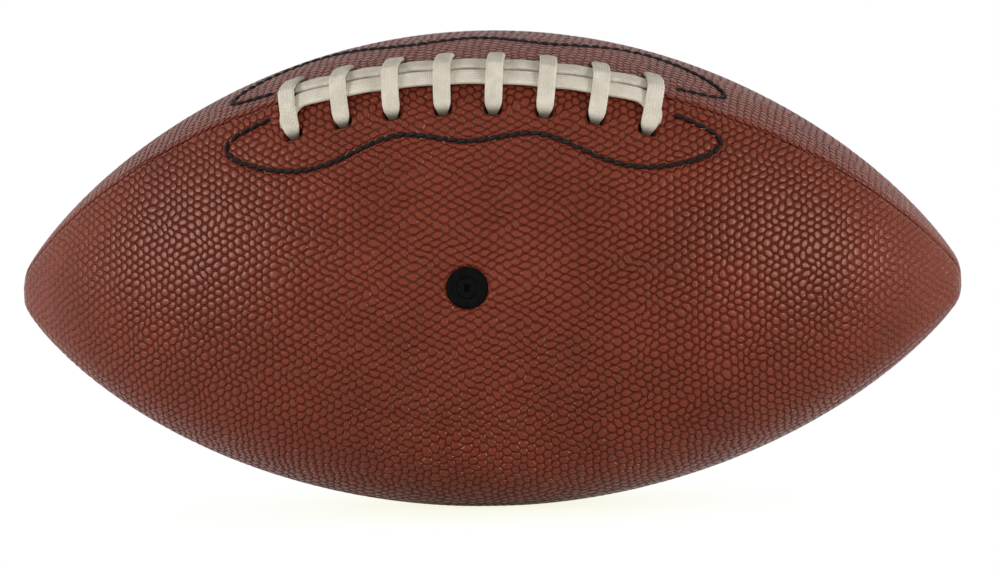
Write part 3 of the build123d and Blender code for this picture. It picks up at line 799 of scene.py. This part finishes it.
def turned_piece(name, profile, body, node):
    """Points (radius cos, depth, radius sin) round the valve's axis, closed from last to first."""
    radius, depth = np.array(profile).T
    turn = np.linspace(0, 2 * math.pi, TURN_COUNT, endpoint=False)[:, None]
    points = [radius * np.cos(turn), depth - VALVE_FACE + 0 * turn, radius * np.sin(turn) + AXIS_HEIGHT]
    points = np.stack(points, axis=-1).swapaxes(0, 1)
    faces = grid_faces(len(profile) + 1, TURN_COUNT, wrap=True) % (len(profile) * TURN_COUNT)
    # Painted shade: points deep in the needle bore are marked, and the rubber finish colours them black.
    bore = np.repeat((radius < BORE_RADIUS) & (depth < BORE_DEPTH), TURN_COUNT)
    return make_piece(name, points, faces.tolist(), body, [node], {"bore": bore})


body_profile = [(3.25, 1.4), (3.25, 0.25), (3.35, 0.08), (3.6, 0.0), (4.4, -0.06), (5.2, -0.02)]
body_profile += [(5.7, 0.12), (6.0, 0.4), (6.1, 0.8), (6.1, 6.7), (13.0, 6.9), (13.0, 8.3)]
body_profile += [(4.5, 8.5), (4.5, 24.2), (2.35, 24.2), (2.35, 1.4)]
core_profile = [(0.02, 12.0), (1.0, 12.0), (1.0, 0.5), (1.08, 0.2), (1.3, 0.04), (1.7, 0.0), (2.4, -0.02)]
core_profile += [(2.9, 0.02), (3.1, 0.12), (3.18, 0.3), (3.18, 1.36), (2.28, 1.38), (2.28, 14.6)]
core_profile += [(2.0, 15.0), (0.02, 15.0)]
valve_pieces = [
    turned_piece("valve_body_rubber", body_profile[::-1], "ball", "valve_body"),
    turned_piece("valve_core_rubber", core_profile[::-1], "valve_core", "valve_core"),
]

# %% [markdown]
# ## Finishes
# Every finish is a tree of nodes. A few helpers make a node, set its values and link its sockets in one call,
# so that the trees below read like formulas.

# %% Node helpers
BLACK, WHITE = (0, 0, 0, 1), (1, 1, 1, 1)


def feed(tree, node, values):
    """The node, with its sockets, by title or number, linked to other sockets or set to plain values."""
    for title, value in values.items():
        if hasattr(value, "is_linked"):
            tree.links.new(value, node.inputs[title])
        else:
            node.inputs[title].default_value = value
    return node


def made(tree, kind, values):
    """New node of a kind, with its sockets fed."""
    return feed(tree, tree.nodes.new(f"ShaderNode{kind}"), values)


def math_node(tree, operation, *values):
    """Result of a math node for sockets or plain numbers."""
    node = tree.nodes.new("ShaderNodeMath")
    node.operation = operation
    return feed(tree, node, dict(enumerate(values))).outputs["Value"]


def vector_node(tree, operation, *values):
    """Result of a vector math node for sockets or plain vectors: a number for lengths and dot products."""
    node = tree.nodes.new("ShaderNodeVectorMath")
    node.operation = operation
    result = "Value" if operation in ("LENGTH", "DOT_PRODUCT") else "Vector"
    return feed(tree, node, dict(enumerate(values))).outputs[result]


def waves(tree, value, length):
    """Sine of a value, which repeats after a length."""
    return math_node(tree, "SINE", math_node(tree, "MULTIPLY", value, 2 * math.pi / length))


def noise(tree, vector, scale, detail):
    """Cloudy value between 0 and 1 at a vector."""
    return made(tree, "TexNoise", {"Vector": vector, "Scale": scale, "Detail": detail}).outputs["Fac"]


def mixed(tree, factor, first, second):
    """Colour between two colours or sockets by a factor."""
    node = tree.nodes.new("ShaderNodeMix")
    node.data_type = "RGBA"
    return feed(tree, node, {"Factor": factor, "A": first, "B": second}).outputs["Result"]


def ranged(tree, value, low, high, from_low=0.0, from_high=1.0, kind="LINEAR"):
    """Value carried from one range to another."""
    node = tree.nodes.new("ShaderNodeMapRange")
    node.interpolation_type = kind
    values = {"Value": value, "From Min": from_low, "From Max": from_high, "To Min": low, "To Max": high}
    return feed(tree, node, values).outputs["Result"]


# %% [markdown]
# Three effects are node groups: a soft mottle, a plain weave and the leather's pebbles.
# The first two read Object coordinates in metres, and the pebbles read values that each panel carries,
# so nothing slides when the ball moves.

# %% Mottle and weave
FLOAT, COLOR, VECTOR = "NodeSocketFloat", "NodeSocketColor", "NodeSocketVector"
MOTTLE_SCALE, MOTTLE_DETAIL = 60.0, 4.0
MOTTLE_RANGE = (0.32, 0.68)


def node_group(name, inputs, outputs):
    """Empty shader group with named sockets, and its input and output nodes."""
    group = bpy.data.node_groups.new(name, "ShaderNodeTree")
    for title, kind, value in inputs:
        socket = group.interface.new_socket(name=title, in_out="INPUT", socket_type=kind)
        socket.default_value = value
    for title, kind in outputs:
        group.interface.new_socket(name=title, in_out="OUTPUT", socket_type=kind)
    return group, group.nodes.new("NodeGroupInput"), group.nodes.new("NodeGroupOutput")


mottle_sockets = [("Vector", VECTOR, (0, 0, 0)), ("Scale", FLOAT, MOTTLE_SCALE)]
mottle_sockets += [("Dark", COLOR, BLACK), ("Light", COLOR, WHITE)]
mottle, mottle_in, mottle_out = node_group("soft_mottle", mottle_sockets, [("Color", COLOR), ("Mask", FLOAT)])
cloud = noise(mottle, mottle_in.outputs["Vector"], mottle_in.outputs["Scale"], MOTTLE_DETAIL)
mask = ranged(mottle, cloud, 0.0, 1.0, *MOTTLE_RANGE)
tone = mixed(mottle, mask, mottle_in.outputs["Dark"], mottle_in.outputs["Light"])
feed(mottle, mottle_out, {"Color": tone, "Mask": mask})

weave_sockets = [("Vector", VECTOR, (0, 0, 0)), ("Pitch", FLOAT, 1.0)]
weave, weave_in, weave_out = node_group("plain_weave", weave_sockets, [("Height", FLOAT)])
scaled = vector_node(weave, "DIVIDE", weave_in.outputs["Vector"], weave_in.outputs["Pitch"])
parts = made(weave, "SeparateXYZ", {"Vector": scaled})
warp = waves(weave, parts.outputs["X"], 1.0)
weft = waves(weave, math_node(weave, "ADD", parts.outputs["Y"], parts.outputs["Z"]), 1.0)
raised = math_node(weave, "MULTIPLY_ADD", math_node(weave, "MULTIPLY", warp, weft), 0.5, 0.5)
feed(weave, weave_out, {"Height": raised})
print("groups", [group.name for group in bpy.data.node_groups])

# %% [markdown]
# The pebble group repeats the lattice's formula pixel by pixel: the nearer of two interleaved lattices,
# the way to the border between a hexagon and a circle, and a soft step down the flank.

# %% Pebble group
def local_place(tree, place):
    """Place measured from the nearest middle of one lattice, and its length."""
    high, low = (*CELL_HALF, 1.0), (*-CELL_HALF, -1.0)
    wrapped = vector_node(tree, "WRAP", place, high, low)
    return wrapped, vector_node(tree, "LENGTH", wrapped)


def nearer_place(tree, place):
    """Place from the nearest middle of both lattices, each way counted positive, and its length."""
    first, first_reach = local_place(tree, place)
    second, second_reach = local_place(tree, vector_node(tree, "ADD", place, (*CELL_HALF, 0.0)))
    choice = tree.nodes.new("ShaderNodeMix")
    choice.data_type = "VECTOR"
    feed(tree, choice, {0: math_node(tree, "LESS_THAN", second_reach, first_reach), 4: first, 5: second})
    local = vector_node(tree, "ABSOLUTE", choice.outputs[1])
    return local, math_node(tree, "MINIMUM", first_reach, second_reach)


grain_sockets = [("Along", FLOAT, 0.0), ("Across", FLOAT, 0.0)]
pebble_grain, grain_in, grain_out = node_group("pebble_grain", grain_sockets, [("Height", FLOAT)])
ways = {"X": grain_in.outputs["Along"], "Y": grain_in.outputs["Across"]}
flat_place = made(pebble_grain, "CombineXYZ", ways)
local, reach = nearer_place(pebble_grain, flat_place.outputs["Vector"])
slanted = vector_node(pebble_grain, "DOT_PRODUCT", local, (*CELL_HALF, 0.0))
upright = vector_node(pebble_grain, "DOT_PRODUCT", local, (0.0, 1.0, 0.0))
hexagon = math_node(pebble_grain, "MAXIMUM", slanted, upright)
border = math_node(pebble_grain, "MULTIPLY_ADD", reach, 0.5 / PEBBLE_ROUND, hexagon)
height = ranged(pebble_grain, border, 1.0, 0.0, 1.0 - PEBBLE_FLANK, 1.0, "SMOOTHSTEP")
feed(pebble_grain, grain_out, {"Height": height})
print("nodes of the pebble group", len(pebble_grain.nodes))

# %% [markdown]
# A finish starts from the Principled shader. One helper makes the material with it and the coordinates.
# Others add a bump or read a mesh's own values, so that each finish below only says what is its own.

# %% Material helpers
def new_finish(name, roughness, specular):
    """Material, its tree, its shader with plain numbers on its own sockets, and its Object coordinates."""
    material = bpy.data.materials.new(name)
    material.use_nodes = True
    tree = material.node_tree
    shader = tree.nodes["Principled BSDF"]
    feed(tree, shader, {"Roughness": roughness, "Specular IOR Level": specular})
    return material, tree, shader, tree.nodes.new("ShaderNodeTexCoord").outputs["Object"]


def place_group(tree, group, **values):
    """Outputs of a node group in a material, with its sockets set or linked."""
    node = tree.nodes.new("ShaderNodeGroup")
    node.node_tree = group
    return feed(tree, node, values).outputs


def mottled(tree, vector, dark, light, scale):
    """Outputs of the soft mottle between a dark and a light colour."""
    return place_group(tree, mottle, Vector=vector, Scale=scale, Dark=dark, Light=light)


def add_bump(tree, shader, height, distance):
    """Bump from a height socket, its distance in metres."""
    bump = made(tree, "Bump", {"Height": height, "Distance": distance, "Strength": 1.0})
    feed(tree, shader, {"Normal": bump.outputs["Normal"]})


def attribute_value(tree, title):
    """Value that a mesh keeps for each of its points."""
    node = tree.nodes.new("ShaderNodeAttribute")
    node.attribute_name = title
    return node.outputs["Fac"]


def dress(pieces, material):
    """Give every piece this one material."""
    for piece in pieces:
        piece.data.materials.clear()
        piece.data.materials.append(material)


# %% [markdown]
# The leather has a red-brown dye. Between the pebbles and on the rolled seams it is darkened as painted
# shade, and the tops are smoother.
# A mottle keeps the dye from being even. The pebbles' places come from the mesh: colour and shape agree.

# %% Pebbled leather finish
DYE_DARK, DYE_LIGHT = (0.120, 0.0178, 0.0068, 1), (0.157, 0.0245, 0.0098, 1)
GROOVE_SHADE_COLOR, SUNK_SHADE_COLOR = (0.042, 0.0060, 0.0026, 1), (0.004, 0.0015, 0.0012, 1)
GLOSS_TINT = (1.0, 0.72, 0.62, 1)
GROOVE_ROUGHNESS, TOP_ROUGHNESS = 0.6, 0.34
GROOVE_SHADE, ROUGH_SHADE = 0.3, 0.4
HIDE_SHARE = 0.10
PEBBLE_BUMP = 0.0006
leather, tree, shader, coordinates = new_finish("pebbled_leather", roughness=0.42, specular=0.34)
pressed, sunk_shade = attribute_value(tree, "pressed"), attribute_value(tree, "sunk_shade")
along, across = attribute_value(tree, "pebble_along"), attribute_value(tree, "pebble_across")
grain = place_group(tree, pebble_grain, Along=along, Across=across)
relief = math_node(tree, "MULTIPLY", pressed, grain["Height"])
top = math_node(tree, "ADD", relief, math_node(tree, "SUBTRACT", 1.0, pressed))
shade = math_node(tree, "MULTIPLY", top, attribute_value(tree, "seam_shade"))
dye = mottled(tree, coordinates, DYE_DARK, DYE_LIGHT, scale=45.0)
# Painted shade: the groove colour darkens the leather between the pebbles and on the rolled seams.
dyed_and_shaded = mixed(tree, ranged(tree, shade, 0.0, 1.0, 0.0, GROOVE_SHADE), GROOVE_SHADE_COLOR, dye["Color"])
rough = ranged(tree, shade, GROOVE_ROUGHNESS, TOP_ROUGHNESS, 0.0, ROUGH_SHADE)
# Painted shade: where the leather sinks into slots, stitch line and valve, its colour goes towards near
# black.
feed(tree, shader, {"Base Color": mixed(tree, sunk_shade, dyed_and_shaded, SUNK_SHADE_COLOR), "Specular Tint": GLOSS_TINT})
feed(tree, shader, {"Roughness": math_node(tree, "MAXIMUM", rough, sunk_shade)})
fine = math_node(tree, "MULTIPLY", noise(tree, coordinates, scale=3200.0, detail=3.0), HIDE_SHARE)
add_bump(tree, shader, math_node(tree, "ADD", relief, fine), PEBBLE_BUMP)
dress(leather_pieces, leather)

# %% [markdown]
# The lace is a woven tape with a warm grey-white coat. Fine ribs run across it and fine cords along it.
# The ribbon carries its own length and width as values, so the ribs follow every bend.

# %% Lace finish
LACE_DARK, LACE_LIGHT = (0.51, 0.465, 0.38, 1), (0.635, 0.585, 0.495, 1)
WEAVE_SHADE_COLOR, GRIME_AND_SHADE_COLOR = (0.33, 0.29, 0.23, 1), (0.10, 0.085, 0.06, 1)
RIB_PITCH, RIB_SHARE = 0.62, 0.4
CORD_PITCH, CORD_SHARE = 0.85, 0.6
WEAVE_SHADE_MOST, WEAVE_SHADE_FROM, WEAVE_SHADE_TO = 0.16, -1.0, 0.4
cord, tree, shader, coordinates = new_finish("ribbed_lace", roughness=0.62, specular=0.2)
tint = mottled(tree, coordinates, LACE_DARK, LACE_LIGHT, scale=220.0)
rib = waves(tree, attribute_value(tree, "lace_along"), RIB_PITCH)
cordline = waves(tree, attribute_value(tree, "lace_across"), CORD_PITCH)
woven = math_node(tree, "MULTIPLY_ADD", rib, RIB_SHARE, math_node(tree, "MULTIPLY", cordline, CORD_SHARE))
# Painted shade: the colour darkens where the weave sinks between its ribs and cords.
worn = mixed(tree, ranged(tree, woven, WEAVE_SHADE_MOST, 0.0, WEAVE_SHADE_FROM, WEAVE_SHADE_TO), tint["Color"], WEAVE_SHADE_COLOR)
# Grime at the slots' mouths and painted shade deeper in: the lace darkens as it sinks into its slots.
feed(tree, shader, {"Base Color": mixed(tree, attribute_value(tree, "lace_grime_and_shade"), worn, GRIME_AND_SHADE_COLOR)})
add_bump(tree, shader, woven, distance=0.00007)
dress([lace_piece], cord)

# %% [markdown]
# The thread is black and waxed: dark with a faint twist that shows in its gloss.
# The valve's rubber is matte black with a little bloom. Both use the shared mottle.

# %% Thread and rubber finishes
TWIST_PITCH = 0.55
RUBBER_SPECULAR = 0.04
thread, tree, shader, coordinates = new_finish("black_waxed_thread", roughness=0.55, specular=0.15)
wax = mottled(tree, coordinates, (0.003, 0.003, 0.003, 1), (0.010, 0.009, 0.009, 1), scale=900.0)
feed(tree, shader, {"Base Color": wax["Color"]})
add_bump(tree, shader, waves(tree, attribute_value(tree, "thread_along"), TWIST_PITCH), distance=0.00008)
dress(stitch_pieces, thread)


def rubber_finish(name, dark, light, roughness):
    """Matte rubber: mottled colour, a fine moulded grain, and the bore painted black as painted shade."""
    material, tree, shader, coordinates = new_finish(name, roughness, RUBBER_SPECULAR)
    bloom = mottled(tree, coordinates, dark, light, scale=420.0)
    feed(tree, shader, {"Base Color": mixed(tree, attribute_value(tree, "bore"), bloom["Color"], BLACK)})
    add_bump(tree, shader, noise(tree, coordinates, scale=2600.0, detail=3.0), distance=0.00005)
    return material


VALVE_DARK, VALVE_LIGHT = (0.0014, 0.0014, 0.0015, 1), (0.0032, 0.0032, 0.0032, 1)
BLADDER_DARK, BLADDER_LIGHT = (0.018, 0.018, 0.018, 1), (0.04, 0.04, 0.04, 1)
valve_rubber = rubber_finish("valve_rubber", VALVE_DARK, VALVE_LIGHT, roughness=0.6)
bladder_rubber = rubber_finish("bladder_rubber", BLADDER_DARK, BLADDER_LIGHT, roughness=0.7)
dress(valve_pieces, valve_rubber)

# %% [markdown]
# ## Pieces inside the ball
# The linings, patches, tongue, seam threads and bladder are covered, so they stay as the CAD made them.
# They still get true finishes, because the ball can be taken apart in another scene.

# %% Finishes of the inner pieces
def cloth_finish(name, dark, light, pitch):
    """Woven cloth: mottled colour with painted shade between the yarns, and the weave as bump."""
    material, tree, shader, coordinates = new_finish(name, roughness=0.85, specular=0.2)
    tint = mottled(tree, coordinates, dark, light, scale=130.0)
    yarns = place_group(tree, weave, Vector=coordinates, Pitch=pitch)
    # Painted shade between the yarns: the colour goes towards the dark tone where the weave is low.
    between = ranged(tree, yarns["Height"], 0.5, 0.0)
    feed(tree, shader, {"Base Color": mixed(tree, between, tint["Color"], dark)})
    add_bump(tree, shader, yarns["Height"], distance=0.0002)
    return material


tongue_leather, tree, shader, coordinates = new_finish("tongue_leather", roughness=0.6, specular=0.35)
hide = mottled(tree, coordinates, (0.07, 0.018, 0.011, 1), (0.11, 0.030, 0.018, 1), scale=150.0)
feed(tree, shader, {"Base Color": hide["Color"]})
add_bump(tree, shader, hide["Mask"], distance=0.0001)
SLOT_FINISHES = {
    "lining_fabric": cloth_finish("lining_cloth", (0.40, 0.36, 0.28, 1), (0.55, 0.50, 0.40, 1), pitch=0.0011),
    "seam_thread": cloth_finish("seam_thread", (0.30, 0.24, 0.16, 1), (0.42, 0.34, 0.24, 1), pitch=0.0006),
    "tongue_leather": tongue_leather,
    "bladder_rubber": bladder_rubber,
}
inner_parts = [part for part in frame["record"]["subparts"] if part["material_slot"] in SLOT_FINISHES]
for part in inner_parts:
    dress([frame["nodes"][part["node"]]], SLOT_FINISHES[part["material_slot"]])
print("inner pieces with finishes", len(inner_parts))

# %% [markdown]
# ## Studio
# The floor is pale and wide. Seen directly, in a gloss or through glass, it and the sky are white.
# Near the ball the floor keeps a trace of the ball's own shadow, and its white has a painted warm shadow
# tint.

# %% Floor and sky
FLOOR_SIZE = 6.0
FLOOR_COLOR = (0.92, 0.90, 0.87, 1)
SHADOW_REACH = (0.11, 0.26, 1.0)
SHADOW_SHARE = 0.12
WARM_SHADOW_TINT = (1.0, 0.98, 0.74, 1)
SKY_STRENGTH = 0.22


def seen_rays(tree):
    """Two values: one for rays from the camera, and one for rays from a gloss or through glass."""
    rays = tree.nodes.new("ShaderNodeLightPath").outputs
    gloss = math_node(tree, "MAXIMUM", rays["Is Glossy Ray"], rays["Is Transmission Ray"])
    return rays["Is Camera Ray"], gloss


def cleared_tree(owner):
    """Node tree of a material or a world, with nothing in it yet."""
    owner.use_nodes = True
    owner.node_tree.nodes.clear()
    return owner.node_tree


mesh = bpy.data.meshes.new("floor")
corners = np.array([(-1, -1), (1, -1), (1, 1), (-1, 1)]) * FLOOR_SIZE
mesh.from_pydata([(x, y, 0.0) for x, y in corners.tolist()], [], [(0, 1, 2, 3)])
floor = add_object("floor", mesh)
pale = bpy.data.materials.new("pale_floor")
tree = cleared_tree(pale)
matte = made(tree, "BsdfDiffuse", {"Color": FLOOR_COLOR}).outputs["BSDF"]
coordinates = tree.nodes.new("ShaderNodeTexCoord").outputs["Object"]
stretched = vector_node(tree, "DIVIDE", coordinates, SHADOW_REACH)
near_ball = ranged(tree, vector_node(tree, "LENGTH", stretched), 1.0, 0.0)
near_ball = math_node(tree, "MULTIPLY", near_ball, near_ball)
# Painted shadow: near the ball the white that the camera sees turns warm.
shadow_tinted = mixed(tree, near_ball, WHITE, WARM_SHADOW_TINT)
white = made(tree, "Emission", {"Color": shadow_tinted, "Strength": 1.0}).outputs["Emission"]
direct, gloss = seen_rays(tree)
direct = math_node(tree, "MULTIPLY", direct, ranged(tree, near_ball, 1.0, 1.0 - SHADOW_SHARE))
gloss = math_node(tree, "MULTIPLY", gloss, ranged(tree, near_ball, 1.0, 0.0))
mixer = made(tree, "MixShader", {"Fac": math_node(tree, "MAXIMUM", direct, gloss), 1: matte, 2: white})
made(tree, "OutputMaterial", {"Surface": mixer.outputs["Shader"]})
dress([floor], pale)

world = bpy.data.worlds.new("studio_sky")
bpy.context.scene.world = world
tree = cleared_tree(world)
strength = ranged(tree, math_node(tree, "MAXIMUM", *seen_rays(tree)), SKY_STRENGTH, 1.0)
sky = made(tree, "Background", {"Color": WHITE, "Strength": strength})
made(tree, "OutputWorld", {"Surface": sky.outputs["Background"]})

# %% [markdown]
# The light on the noses comes from the sides: there the leather turns pale and its pebbles sparkle,
# while the middle that faces the camera stays deep. So two boxes stand well to the sides and low,
# and a third one above the camera fills in without a gloss of its own.

# %% Lights and camera
TARGET = Vector((0, 0, AXIS_HEIGHT * MM))


def soft_box(name, place, width, height, watts):
    """Area lamp that looks at the ball's middle."""
    lamp = bpy.data.lights.new(name, "AREA")
    lamp.shape = "RECTANGLE"
    lamp.size, lamp.size_y = width, height
    lamp.energy = watts
    lamp_object = add_object(name, lamp)
    lamp_object.location = place
    lamp_object.rotation_euler = (TARGET - Vector(place)).to_track_quat("-Z", "Y").to_euler()
    return lamp_object


soft_box("left_box", (-1.4, -0.65, 0.36), width=0.5, height=0.5, watts=15.5)
soft_box("right_box", (1.4, -0.65, 0.30), width=0.5, height=0.5, watts=15)
front_box = soft_box("front_box", (0.2, -2.0, 0.5), width=1.0, height=0.8, watts=13)
front_box.visible_glossy = False

CAMERA_DISTANCE = 2.2
CAMERA_SHIFT = (0.0095, 0.0020)
CAMERA_AZIMUTH = math.radians(5.07)
CAMERA_RISE = math.radians(0.26)
CAMERA_ROLL = math.radians(-0.66)
PIXELS_PER_METRE = 3297.0
PHOTO_WIDTH = 1000
camera_data = bpy.data.cameras.new("photo_camera")
camera = add_object("photo_camera", camera_data)
bpy.context.scene.camera = camera
reach = CAMERA_DISTANCE * math.cos(CAMERA_RISE)
sideways, back = reach * math.sin(CAMERA_AZIMUTH), -reach * math.cos(CAMERA_AZIMUTH)
camera.location = TARGET + Vector((sideways, back, CAMERA_DISTANCE * math.sin(CAMERA_RISE)))
look = (TARGET - camera.location).to_track_quat("-Z", "Y").to_matrix()
camera.rotation_euler = (look @ Matrix.Rotation(CAMERA_ROLL, 3, "Z")).to_euler()
camera_data.sensor_width = 36.0
camera_data.lens = camera_data.sensor_width * PIXELS_PER_METRE * CAMERA_DISTANCE / PHOTO_WIDTH
camera_data.shift_x, camera_data.shift_y = CAMERA_SHIFT
camera_data.clip_end = 50.0
bpy.context.scene.view_settings.view_transform = "Standard"
print("lens", round(camera_data.lens, 1), "mm")
